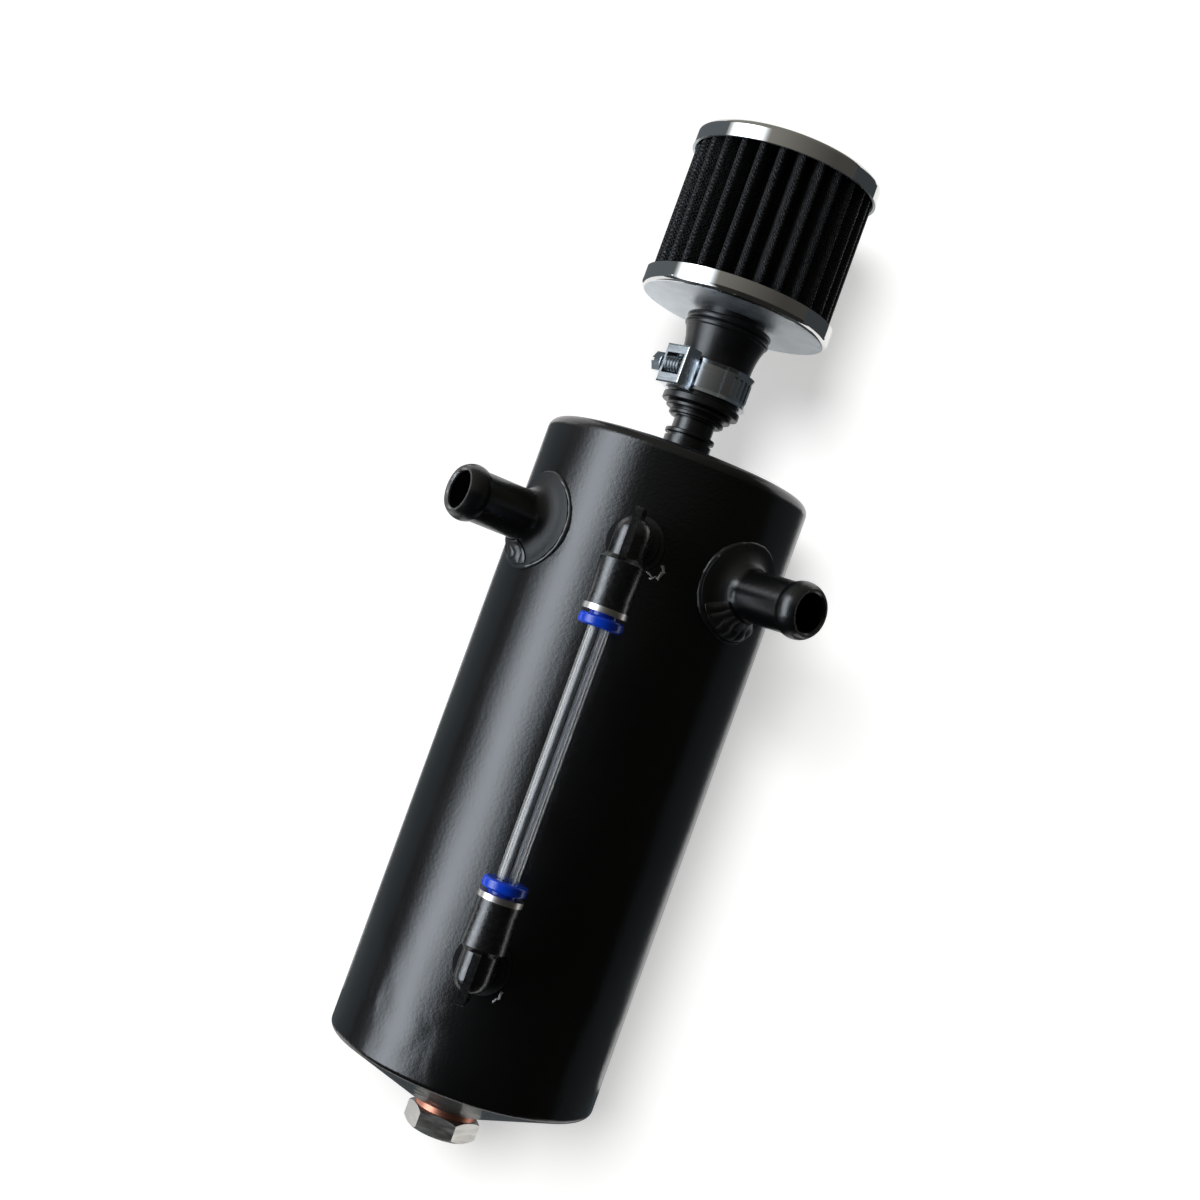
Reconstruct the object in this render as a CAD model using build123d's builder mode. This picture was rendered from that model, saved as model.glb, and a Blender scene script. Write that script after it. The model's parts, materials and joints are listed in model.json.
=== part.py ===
from build123d import *
import os
from math import cos, pi, radians, sin, tan, atan2

os.makedirs("parts", exist_ok=True)

# Frame: the tank axis is Z, the tank's lower rim lies at Z = 0 and the sight tube stands at -Y.

# Tank
tank_od = 80.0
tank_wall = 2.0
tank_height = 184.0
tank_inner_edge_radius = 1.5
crown_depth = 5.0
weld_gap = 0.05

# Conical tank bottom
bottom_drop = 13.0
bottom_wall = 2.0
bottom_rim_land = 2.2
bottom_rim_radius = 2.0

# Drain bung, washer and plug
plug_shank_d = 11.9
plug_shank_length = 11.0
plug_shank_chamfer = 0.8
plug_across_flats = 19.0
plug_head_height = 6.4
plug_head_face_d = 18.4
plug_head_chamfer_angle = 30.0
drain_thread_clearance = 0.08
washer_od = 18.6
washer_thickness = 2.0
washer_clearance = 0.3
bung_od = 20.0
bung_length = 13.0
bung_lip = 0.8
bung_flange_od = 25.0
bung_flange_thickness = 2.5
bung_flange_margin = 1.0

# Hose tails
port_angle = 50.0
port_drop = 32.0
tail_od = 14.6
tail_bore = 11.0
tail_projection = 26.0
tail_spigot = 4.0
bead_height = 0.7
bead_length = 6.4
bead_tip_thickness = 1.15
bead_crest = 0.45
tail_mouth_chamfer = 0.5
collar_edge = 1.0
collar_fillet = 5.6
collar_land = 1.0

# Vent stub on the tank top
stub_od = 12.3
stub_bore = 9.0
stub_length = 36.0
stub_spigot = 3.5
stub_boss_od = 14.4
stub_boss_height = 6.4
stub_groove_od = 13.2
stub_groove_width = 0.9
stub_ring_od = 15.2
stub_ring_width = 1.4
stub_flange_od = 20.0
stub_flange_thickness = 1.0
stub_weld_radius = 1.8
stub_ring_radius = 0.4
stub_end_chamfer = 0.8

# Rubber filter neck
neck_lift = 12.6
neck_fit_gap = 0.05
neck_lip_od = 23.4
neck_lip_width = 2.2
neck_tail_od = 15.4
neck_rib_od = 16.8
neck_rib_step = 3.0
neck_rib_width = 1.3
neck_rib_pitch = 1.9
neck_rib_count = 2
neck_rib_radius = 0.4
neck_seat_od = 21.5
neck_seat_length = 12.0
neck_flare_length = 8.5
neck_bulge_od = 25.8
neck_bulge_ring = 2.0
neck_bulge_count = 2
neck_bulge_crown = 0.6
neck_collar_od = 20.0
neck_collar_length = 2.0
neck_grommet_od = 18.0

# Breather filter
filter_height = 50.0
filter_top_od = 57.0
filter_base_step = 1.0
cap_skirt = 5.6
cap_wall = 0.8
cap_inner_radius = 0.9
cap_rim_flat = 5.0
cap_dome = 1.2
cap_seat_gap = 0.1
potting_thickness = 3.0
pleat_count = 28
pleat_depth = 7.6
pleat_crest_radius = 1.15
pleat_valley_radius = 0.6
crest_refinements = 8
media_thickness = 0.8
media_cap_margin = 0.35

# Hose clamp
clamp_width = 9.4
clamp_band_thickness = 0.7
clamp_band_gap = 0.05
clamp_edge_roll = 0.45
clamp_edge_width = 1.1
clamp_housing_angle = -37.0
clamp_tongue_end_angle = 24.0
clamp_slot_first_angle = 40.0
clamp_slot_pitch_angle = 11.0
clamp_slot_count = 8
clamp_slot_width = 1.2
clamp_slot_height = 5.6
clamp_weld_arc = 16.0
housing_length = 9.0
housing_height = 11.6
housing_wall = 1.2
housing_crown = 0.8
housing_edge_radius = 0.6
housing_clearance = 0.1
worm_d = 5.6
worm_core_d = 3.8
worm_pitch = 1.15
worm_crest_width = 0.6
worm_end_gap = 0.2
worm_side_gap = 0.3
worm_band_gap = 0.3
journal_d = 2.6
journal_clearance = 0.05
screw_head_across_flats = 5.5
screw_head_length = 3.0
screw_slot_width = 0.9
screw_slot_depth = 1.0

# Sight gauge: places on the tank
gauge_upper_drop = 30.0
gauge_lower_z = 34.0
gauge_standoff = 14.0

# Sight gauge: weld bungs, studs and stud seals
boss_od = 16.0
boss_proud = 1.0
boss_inside = 5.0
stud_thread_d = 9.7
stud_thread_clearance = 0.05
stud_inside = 6.0
stud_passage_d = 3.8
stud_flange_od = 13.0
stud_flange_thickness = 2.2
stud_insert_d = 7.8
stud_insert_length = 5.4
stud_seal_thickness = 1.0
stud_seal_od = 12.2
stud_seal_gap = 0.05

# Sight gauge: elbow bodies, measured along the barrel from the arm axis
barrel_end = 19.5
barrel_mouth_od = 12.0
barrel_shoulder_od = 12.7
barrel_shoulder = 5.4
barrel_shoulder_length = 1.4
barrel_band_length = 2.6
barrel_band_step = 0.2
elbow_neck_od = 9.6
elbow_crown = 5.9
elbow_arm_od = 10.0
elbow_fit_gap = 0.05
fin_thickness = 2.2
fin_reach = 8.2
fin_front = 6.0
fin_back = 5.2
fin_corner_radius = 0.8

# Sight gauge: push-in cartridge and tube
tube_od = 6.0
tube_bore = 4.0
tube_stop = 8.0
tube_end_gap = 0.3
tube_grip_gap = 0.03
cartridge_d = 9.2
cartridge_floor = 12.5
tube_seal_length = 1.8
grab_ring_thickness = 0.3
ring_flange_od = 12.4
ring_flange_thickness = 1.6
ring_skirt_wall = 0.45
cartridge_fit_gap = 0.05
collet_travel = 0.8
collet_stop_gap = 0.15
collet_running_gap = 0.15
collet_sleeve_wall = 0.75
collet_flange_od = 12.4
collet_flange_thickness = 3.0
collet_edge_radius = 0.8

# Sizes that follow from the ones above
tank_r = tank_od / 2
tank_top = tank_height
tank_outer_edge_radius = tank_inner_edge_radius + tank_wall
crown_seam = tank_top - crown_depth
port_z = tank_top - port_drop
gauge_upper_z = tank_top - gauge_upper_drop
tail_r = tail_od / 2
bead_r = tail_r + bead_height
collar_r = tail_r + collar_fillet + collar_land
bottom_flat_r = bung_flange_od / 2 + bung_flange_margin
drain_face = -bottom_drop - bung_lip
drain_bore_r = plug_shank_d / 2 + drain_thread_clearance
plug_seat = drain_face - washer_thickness
neck_bottom = tank_top + neck_lift
neck_lip_bottom = neck_bottom + neck_rib_pitch * neck_rib_count
neck_seat_bottom = neck_lip_bottom + neck_lip_width
neck_seat_top = neck_seat_bottom + neck_seat_length
neck_bulge_bottom = neck_seat_top + neck_flare_length
neck_bulge_top = neck_bulge_bottom + neck_bulge_ring * neck_bulge_count
filter_base = neck_bulge_top + neck_collar_length
filter_top = filter_base + filter_height
potting_bottom = filter_base + cap_wall
media_bottom = potting_bottom + potting_thickness
media_top = filter_top - cap_wall - potting_thickness
cap_outer_radius = cap_inner_radius + cap_wall
filter_base_od = filter_top_od + filter_base_step
media_r = filter_top_od / 2 - cap_wall - media_cap_margin
clamp_z = (neck_seat_bottom + neck_seat_top) / 2
band_in_r = neck_seat_od / 2 + clamp_band_gap
tongue_in_r = band_in_r + clamp_band_thickness + clamp_band_gap
tongue_out_r = tongue_in_r + clamp_band_thickness
housing_floor_r = tongue_out_r + clamp_edge_roll + housing_clearance
worm_axis_r = tongue_out_r + worm_band_gap + worm_d / 2
boss_face = tank_r + boss_proud
stud_flange_back = boss_face + stud_seal_thickness
stud_flange_front = stud_flange_back + stud_flange_thickness
gauge_axis = tank_r + gauge_standoff
fin_foot = barrel_shoulder + barrel_shoulder_length / 2
grab_ring_floor = cartridge_floor + tube_seal_length
skirt_floor = grab_ring_floor + grab_ring_thickness
ring_front = barrel_end + ring_flange_thickness
collet_tip = skirt_floor + collet_travel + collet_stop_gap
collet_flange_back = ring_front + collet_travel + collet_stop_gap


def turning_plane(angle, z):
    """Plane whose Y axis leaves the tank axis radially at an angle from -Y, for turned pieces."""
    a = radians(angle)
    return Plane(origin=(0, 0, z), x_dir=(cos(a), sin(a), 0), z_dir=(0, 0, -1))


def drilling_plane(angle, z):
    """Plane on the tank axis whose normal leaves it radially at an angle from -Y."""
    a = radians(angle)
    return Plane(origin=(0, 0, z), x_dir=(cos(a), sin(a), 0), z_dir=(sin(a), -cos(a), 0))


def barrel_plane(z):
    """Plane through a gauge barrel's axis, with Y up along that axis."""
    return Plane(origin=(0, -gauge_axis, z), x_dir=(1, 0, 0), z_dir=(0, -1, 0))


def turned(plane, outline):
    """Solid turned about the plane's own Y axis from a closed outline of (radius, height) points."""
    with BuildPart() as piece:
        with BuildSketch(plane):
            with BuildLine():
                Polyline(*outline, close=True)
            make_face()
        revolve(axis=Axis(plane.origin, plane.y_dir))
    return piece.part


def ring_outline(inner_r, outer_r, low, high):
    """Outline of a plain ring."""
    return [(inner_r, low), (outer_r, low), (outer_r, high), (inner_r, high)]


def corner(profile, x, y):
    """The outline's corner nearest to a point of its plane."""
    return profile.vertices().sort_by_distance((x, y, 0))[0]


def save(part, label):
    """Label a finished piece and write its file."""
    part.label = label
    export_step(part, f"parts/{label}.step")


# Tank shell: rolled tube, drilled for the ports and the gauge bungs
with BuildPart() as tank_shell:
    with BuildSketch(Plane.XY):
        Circle(tank_r)
        Circle(tank_r - tank_wall, mode=Mode.SUBTRACT)
    extrude(amount=crown_seam)
    for angle in (-port_angle, port_angle):
        with BuildSketch(drilling_plane(angle, port_z)):
            Circle(tail_r + weld_gap)
        extrude(amount=tank_od, mode=Mode.SUBTRACT)
    for z in (gauge_upper_z, gauge_lower_z):
        with BuildSketch(drilling_plane(0, z)):
            Circle(boss_od / 2 + weld_gap)
        extrude(amount=tank_od, mode=Mode.SUBTRACT)
save(tank_shell.part, "tank_shell")

# Tank crown: pressed top with a rounded rim, welded to the shell and drilled for the vent
with BuildPart() as tank_crown:
    with BuildSketch(Plane.XZ) as profile:
        with BuildLine():
            Polyline(
                (stub_boss_od / 2 + weld_gap, tank_top),
                (tank_r, tank_top),
                (tank_r, crown_seam),
                (tank_r - tank_wall, crown_seam),
                (tank_r - tank_wall, tank_top - tank_wall),
                (stub_boss_od / 2 + weld_gap, tank_top - tank_wall),
                close=True,
            )
        make_face()
        fillet(corner(profile, tank_r, tank_top), tank_outer_edge_radius)
        fillet(corner(profile, tank_r - tank_wall, tank_top - tank_wall), tank_inner_edge_radius)
    revolve(axis=Axis.Z)
save(tank_crown.part, "tank_crown")

# Tank bottom: spun cone with a short upright rim and a flat centre for the drain bung
cone_angle = atan2(bottom_drop - bottom_rim_land, tank_r - bottom_flat_r)
cone_rise = bottom_wall / cos(cone_angle)
inner_flat_r = bottom_flat_r - bottom_wall * tan(cone_angle / 2)
inner_rim_r = tank_r - tank_wall
inner_rim_z = -bottom_drop + cone_rise + (inner_rim_r - bottom_flat_r) * tan(cone_angle)
bottom_hole_r = bung_od / 2 + weld_gap
with BuildPart() as tank_bottom:
    with BuildSketch(Plane.XZ) as profile:
        with BuildLine():
            Polyline(
                (tank_r, 0),
                (tank_r, -bottom_rim_land),
                (bottom_flat_r, -bottom_drop),
                (bottom_hole_r, -bottom_drop),
                (bottom_hole_r, -bottom_drop + bottom_wall),
                (inner_flat_r, -bottom_drop + bottom_wall),
                (inner_rim_r, inner_rim_z),
                (inner_rim_r, 0),
                close=True,
            )
        make_face()
        fillet(corner(profile, tank_r, -bottom_rim_land), bottom_rim_radius)
    revolve(axis=Axis.Z)
save(tank_bottom.part, "tank_bottom")

# Drain bung: threaded ring through the bottom, with its flange inside
bung_flange_z = -bottom_drop + bottom_wall
drain_bung = turned(
    Plane.XZ,
    [
        (drain_bore_r, drain_face),
        (bung_od / 2, drain_face),
        (bung_od / 2, bung_flange_z),
        (bung_flange_od / 2, bung_flange_z),
        (bung_flange_od / 2, bung_flange_z + bung_flange_thickness),
        (bung_od / 2, bung_flange_z + bung_flange_thickness),
        (bung_od / 2, drain_face + bung_length),
        (drain_bore_r, drain_face + bung_length),
    ],
)
save(drain_bung, "drain_bung")

# Crush washer under the plug's head
washer_bore_r = plug_shank_d / 2 + washer_clearance
save(turned(Plane.XZ, ring_outline(washer_bore_r, washer_od / 2, plug_seat, drain_face)), "drain_washer")

# Drain plug: hexagon head with turned chamfers on both faces, and a plain shank
head_low = plug_seat - plug_head_height
hex_corner_r = plug_across_flats / 2 / cos(radians(30))
chamfer_r = plug_head_face_d / 2
chamfer_drop = (hex_corner_r - chamfer_r) * tan(radians(plug_head_chamfer_angle))
with BuildPart() as drain_plug:
    with BuildSketch(Plane.XY.offset(head_low)):
        RegularPolygon(plug_across_flats / 2, 6, major_radius=False)
    extrude(amount=plug_head_height)
    with BuildSketch(Plane.XZ):
        with BuildLine():
            Polyline(
                (0, head_low),
                (chamfer_r, head_low),
                (hex_corner_r, head_low + chamfer_drop),
                (hex_corner_r, plug_seat - chamfer_drop),
                (chamfer_r, plug_seat),
                (0, plug_seat),
                close=True,
            )
        make_face()
    revolve(axis=Axis.Z, mode=Mode.INTERSECT)
    with BuildSketch(Plane.XY.offset(plug_seat)):
        Circle(plug_shank_d / 2)
    extrude(amount=plug_shank_length)
    chamfer(drain_plug.edges().sort_by(Axis.Z)[-1], plug_shank_chamfer)
save(drain_plug.part, "drain_plug")


def hose_tail(angle):
    """Hose tail with a rounded bead at its mouth and a saddle collar that follows the tank wall."""
    drill = drilling_plane(angle, port_z)
    turn = turning_plane(angle, port_z)
    turn_axis = Axis(turn.origin, turn.y_dir)
    tip = tank_r + tail_projection
    bead_root = tip - bead_length
    with BuildPart() as tail:
        with BuildSketch(drill):
            Circle(collar_r)
        extrude(amount=tip)
        with Locations((0, 0, port_z)):
            Cylinder(tank_r + collar_edge, 4 * collar_r, mode=Mode.INTERSECT)
        with BuildSketch(drill):
            Circle(tail_r)
        extrude(amount=bead_root)
        fillet(tail.edges(Select.NEW), collar_fillet)
        with Locations((0, 0, port_z)):
            Cylinder(tank_r + weld_gap, 4 * collar_r, mode=Mode.SUBTRACT)
        with BuildSketch(drill.offset(tank_r - tail_spigot)):
            Circle(tail_r)
        extrude(amount=tail_spigot + collar_edge)
        with BuildSketch(turn):
            with BuildLine():
                mouth = (tail_bore / 2 + bead_tip_thickness, tip)
                root = (tail_r, bead_root)
                ThreePointArc(mouth, (bead_r, tip - bead_crest * bead_length), root)
                Polyline(root, (0, bead_root), (0, tip), mouth)
            make_face()
        revolve(axis=turn_axis)
        with BuildSketch(turn):
            with BuildLine():
                Polyline(
                    (0, 0),
                    (tail_bore / 2, 0),
                    (tail_bore / 2, tip - tail_mouth_chamfer),
                    (tail_bore / 2 + tail_mouth_chamfer, tip),
                    (0, tip),
                    close=True,
                )
            make_face()
        revolve(axis=turn_axis, mode=Mode.SUBTRACT)
    return tail.part


for side, angle in (("left", -port_angle), ("right", port_angle)):
    save(hose_tail(angle), f"{side}_hose_tail")

# Vent stub: tube with a grooved boss, standing on a welded flange
stub_flange_top = tank_top + stub_flange_thickness
stub_ring_bottom = tank_top + stub_boss_height + stub_groove_width
stub_ring_top = stub_ring_bottom + stub_ring_width
with BuildPart() as vent_stub:
    with BuildSketch(Plane.XZ) as profile:
        with BuildLine():
            Polyline(
                (stub_bore / 2, tank_top - stub_spigot),
                (stub_boss_od / 2, tank_top - stub_spigot),
                (stub_boss_od / 2, tank_top),
                (stub_flange_od / 2, tank_top),
                (stub_flange_od / 2, stub_flange_top),
                (stub_boss_od / 2, stub_flange_top),
                (stub_boss_od / 2, tank_top + stub_boss_height),
                (stub_groove_od / 2, tank_top + stub_boss_height),
                (stub_groove_od / 2, stub_ring_bottom),
                (stub_ring_od / 2, stub_ring_bottom),
                (stub_ring_od / 2, stub_ring_top),
                (stub_od / 2, stub_ring_top),
                (stub_od / 2, tank_top + stub_length - stub_end_chamfer),
                (stub_od / 2 - stub_end_chamfer, tank_top + stub_length),
                (stub_bore / 2, tank_top + stub_length),
                close=True,
            )
        make_face()
        fillet(corner(profile, stub_boss_od / 2, stub_flange_top), stub_weld_radius)
        for z in (stub_ring_bottom, stub_ring_top):
            fillet(corner(profile, stub_ring_od / 2, z), stub_ring_radius)
    revolve(axis=Axis.Z)
save(vent_stub.part, "vent_stub")

# Filter neck: rubber moulding with a stepped lower end, a flare, a ringed bulge and the filter's base disc
neck_bore_r = stub_od / 2 + neck_fit_gap
neck_seat_r = neck_seat_od / 2
bulge_root_r = neck_bulge_od / 2 - neck_bulge_crown
base_disc_r = filter_base_od / 2 - cap_wall - cap_seat_gap
grommet_r = neck_grommet_od / 2
with BuildPart() as filter_neck:
    with BuildSketch(Plane.XZ) as profile:
        with BuildLine():
            Polyline(
                (neck_bore_r, neck_bottom),
                (neck_tail_od / 2, neck_bottom),
                (neck_tail_od / 2, neck_lip_bottom),
                (neck_seat_r, neck_lip_bottom),
                (neck_seat_r, neck_seat_top),
            )
            flare_end = (bulge_root_r, neck_bulge_bottom)
            TangentArc((neck_seat_r, neck_seat_top), flare_end, tangent=(0, 1))
            for ring in range(neck_bulge_count):
                low = neck_bulge_bottom + ring * neck_bulge_ring
                high = low + neck_bulge_ring
                crest = (neck_bulge_od / 2, (low + high) / 2)
                ThreePointArc((bulge_root_r, low), crest, (bulge_root_r, high))
            Polyline(
                (bulge_root_r, neck_bulge_top),
                (neck_collar_od / 2, neck_bulge_top),
                (neck_collar_od / 2, filter_base),
                (grommet_r, filter_base),
                (grommet_r, potting_bottom),
                (base_disc_r, potting_bottom),
                (base_disc_r, media_bottom),
                (neck_bore_r, media_bottom),
                (neck_bore_r, neck_bottom),
            )
        make_face()
        fillet(corner(profile, base_disc_r, potting_bottom), cap_inner_radius)
        lip_wall = neck_lip_od / 2 - neck_bore_r
        with Locations((neck_bore_r + lip_wall / 2, neck_lip_bottom + neck_lip_width / 2)):
            RectangleRounded(lip_wall, neck_lip_width, neck_rib_radius)
        for rib in range(neck_rib_count):
            rib_wall = (neck_rib_od + rib * neck_rib_step) / 2 - neck_bore_r
            with Locations((neck_bore_r + rib_wall / 2, neck_bottom + (rib + 0.5) * neck_rib_pitch)):
                RectangleRounded(rib_wall, neck_rib_width, neck_rib_radius)
    revolve(axis=Axis.Z)
save(filter_neck.part, "filter_neck")

# Filter base cap: pressed cup with a flat underside, held by the neck's groove
with BuildPart() as filter_base_cap:
    with BuildSketch(Plane.XZ) as profile:
        with BuildLine():
            Polyline(
                (grommet_r + neck_fit_gap, filter_base),
                (filter_base_od / 2, filter_base),
                (filter_base_od / 2, filter_base + cap_skirt),
                (filter_base_od / 2 - cap_wall, filter_base + cap_skirt),
                (filter_base_od / 2 - cap_wall, potting_bottom),
                (grommet_r + neck_fit_gap, potting_bottom),
                close=True,
            )
        make_face()
        fillet(corner(profile, filter_base_od / 2 - cap_wall, potting_bottom), cap_inner_radius)
        fillet(corner(profile, filter_base_od / 2, filter_base), cap_outer_radius)
    revolve(axis=Axis.Z)
save(filter_base_cap.part, "filter_base_cap")

# Filter top cap: pressed cup with a shallow raised centre
dome_r = filter_top_od / 2 - cap_rim_flat
cap_floor = filter_top - cap_wall
with BuildPart() as filter_top_cap:
    with BuildSketch(Plane.XZ) as profile:
        with BuildLine():
            TangentArc((0, filter_top + cap_dome), (dome_r, filter_top), tangent=(1, 0))
            Polyline(
                (dome_r, filter_top),
                (filter_top_od / 2, filter_top),
                (filter_top_od / 2, filter_top - cap_skirt),
                (filter_top_od / 2 - cap_wall, filter_top - cap_skirt),
                (filter_top_od / 2 - cap_wall, cap_floor),
                (dome_r, cap_floor),
            )
            TangentArc((0, cap_floor + cap_dome), (dome_r, cap_floor), tangent=(1, 0))
            Line((0, cap_floor + cap_dome), (0, filter_top + cap_dome))
        make_face()
        fillet(corner(profile, filter_top_od / 2 - cap_wall, cap_floor), cap_inner_radius)
        fillet(corner(profile, filter_top_od / 2, filter_top), cap_outer_radius)
    revolve(axis=Axis.Z)
save(filter_top_cap.part, "filter_top_cap")

# Potting disc that seals the pleats into the top cap
with BuildPart() as filter_top_seal:
    with BuildSketch(Plane.XY.offset(media_top)):
        Circle(filter_top_od / 2 - cap_wall - cap_seat_gap)
    extrude(amount=potting_thickness)
    fillet(filter_top_seal.edges().sort_by(Axis.Z)[-1], cap_inner_radius)
save(filter_top_seal.part, "filter_top_seal")

# Pleated filter medium: one folded wall of even thickness, rounded at crests and valleys
pleat_step = pi / pleat_count
valley_r = media_r - pleat_depth
crest_r = media_r
for refinement in range(crest_refinements):
    crest_half_angle = atan2(valley_r * sin(pleat_step), crest_r - valley_r * cos(pleat_step))
    crest_r = media_r + pleat_crest_radius * (1 / sin(crest_half_angle) - 1)
star = [
    ((crest_r, valley_r)[k % 2] * cos(k * pleat_step), (crest_r, valley_r)[k % 2] * sin(k * pleat_step))
    for k in range(2 * pleat_count)
]
with BuildPart() as filter_media:
    with BuildSketch(Plane.XY.offset(media_bottom)) as pleats:
        with BuildLine():
            Polyline(*star, close=True)
        make_face()
        by_radius = pleats.vertices().group_by(lambda v: round(Vector(v.X, v.Y).length))
        fillet(by_radius[-1], pleat_crest_radius)
        sharp = pleats.vertices().group_by(lambda v: round(Vector(v.X, v.Y).length))
        fillet(sharp[0], pleat_valley_radius)
        offset(amount=-media_thickness, mode=Mode.SUBTRACT)
    extrude(amount=media_top - media_bottom)
save(filter_media.part, "filter_media")

# Clamp band: a ring with rolled edges and an outer tongue, slotted for the worm
housing_a = radians(clamp_housing_angle)
tongue_arc = 360 + clamp_housing_angle - clamp_tongue_end_angle


def band_outline(inner_r):
    """Section of a band whose two edges roll outwards."""
    half = clamp_width / 2
    flat = half - clamp_edge_width
    outer_r = inner_r + clamp_band_thickness
    return [
        (inner_r + clamp_edge_roll, clamp_z - half),
        (inner_r, clamp_z - flat),
        (inner_r, clamp_z + flat),
        (inner_r + clamp_edge_roll, clamp_z + half),
        (outer_r + clamp_edge_roll, clamp_z + half),
        (outer_r, clamp_z + flat),
        (outer_r, clamp_z - flat),
        (outer_r + clamp_edge_roll, clamp_z - half),
    ]


def section_plane(angle):
    """Plane through the tank axis at an angle from -Y, with X outwards and Y up."""
    a = radians(angle)
    return Plane(origin=(0, 0, 0), x_dir=(sin(a), -cos(a), 0), z_dir=(-cos(a), -sin(a), 0))


with BuildPart() as clamp_band:
    with BuildSketch(section_plane(clamp_tongue_end_angle)):
        with BuildLine():
            Polyline(*band_outline(tongue_in_r), close=True)
        make_face()
    revolve(axis=Axis.Z, revolution_arc=tongue_arc)
    for slot in range(clamp_slot_count):
        slot_angle = clamp_slot_first_angle + slot * clamp_slot_pitch_angle
        with BuildSketch(drilling_plane(slot_angle, clamp_z).offset(tongue_in_r - clamp_band_gap)):
            Rectangle(clamp_slot_width, clamp_slot_height)
        extrude(amount=2 * clamp_band_thickness, mode=Mode.SUBTRACT)
    with BuildSketch(section_plane(0)):
        with BuildLine():
            Polyline(*band_outline(band_in_r), close=True)
        make_face()
    revolve(axis=Axis.Z)
    with BuildSketch(section_plane(clamp_housing_angle - clamp_weld_arc)):
        with Locations((tongue_in_r, clamp_z)):
            Rectangle(clamp_band_thickness, clamp_slot_height)
    revolve(axis=Axis.Z, revolution_arc=clamp_weld_arc)
save(clamp_band.part, "clamp_band")

# Clamp housing: block over the tongue, open around the worm, with a journal hole in each cheek
housing_drill = drilling_plane(clamp_housing_angle, clamp_z)
worm_opening = worm_d + 2 * worm_side_gap
housing_top_r = worm_axis_r + journal_d / 2 + housing_crown
worm_centre = (worm_axis_r * sin(housing_a), -worm_axis_r * cos(housing_a), clamp_z)
journal_plane = Plane(origin=worm_centre, x_dir=(0, 0, 1), z_dir=(cos(housing_a), sin(housing_a), 0))
with BuildPart() as clamp_housing:
    with BuildSketch(housing_drill):
        Rectangle(housing_length, housing_height)
    extrude(amount=housing_top_r)
    crown = clamp_housing.faces().sort_by(Axis(housing_drill.origin, housing_drill.z_dir))[-1]
    fillet(crown.edges(), housing_edge_radius)
    with BuildSketch(housing_drill):
        Rectangle(housing_length - 2 * housing_wall, worm_opening)
    extrude(amount=2 * housing_top_r, mode=Mode.SUBTRACT)
    with Locations((0, 0, clamp_z)):
        Cylinder(housing_floor_r, 2 * housing_height, mode=Mode.SUBTRACT)
    with BuildSketch(journal_plane):
        Circle(journal_d / 2 + journal_clearance)
    extrude(amount=housing_length, both=True, mode=Mode.SUBTRACT)
save(clamp_housing.part, "clamp_housing")

# Clamp screw: ringed worm between two journals, with a slotted hexagon head at the back
screw_turn = Plane(origin=worm_centre, x_dir=(sin(housing_a), -cos(housing_a), 0), z_dir=(0, 0, -1))
screw_axis = Axis(screw_turn.origin, screw_turn.y_dir)
worm_half = housing_length / 2 - housing_wall - worm_end_gap
head_back = housing_length / 2 + worm_end_gap
thread_count = int(2 * worm_half / worm_pitch)
with BuildPart() as clamp_screw:
    with BuildSketch(screw_turn):
        with BuildLine():
            Polyline(
                (0, -housing_length / 2),
                (journal_d / 2, -housing_length / 2),
                (journal_d / 2, -worm_half),
                (worm_core_d / 2, -worm_half),
                (worm_core_d / 2, worm_half),
                (journal_d / 2, worm_half),
                (journal_d / 2, head_back),
                (0, head_back),
                close=True,
            )
        make_face()
        for thread in range(thread_count):
            crest = (thread - (thread_count - 1) / 2) * worm_pitch
            with Locations((worm_d / 4, crest)):
                Rectangle(worm_d / 2, worm_crest_width)
    revolve(axis=screw_axis)
    with BuildSketch(Plane(origin=screw_turn.from_local_coords((0, head_back)), z_dir=screw_turn.y_dir)):
        RegularPolygon(screw_head_across_flats / 2, 6, major_radius=False)
    extrude(amount=screw_head_length)
    slot_floor = head_back + screw_head_length - screw_slot_depth
    with BuildSketch(Plane(origin=screw_turn.from_local_coords((0, slot_floor)), z_dir=screw_turn.y_dir)):
        Rectangle(2 * screw_head_across_flats, screw_slot_width)
    extrude(amount=screw_slot_depth, mode=Mode.SUBTRACT)
save(clamp_screw.part, "clamp_screw")


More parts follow.
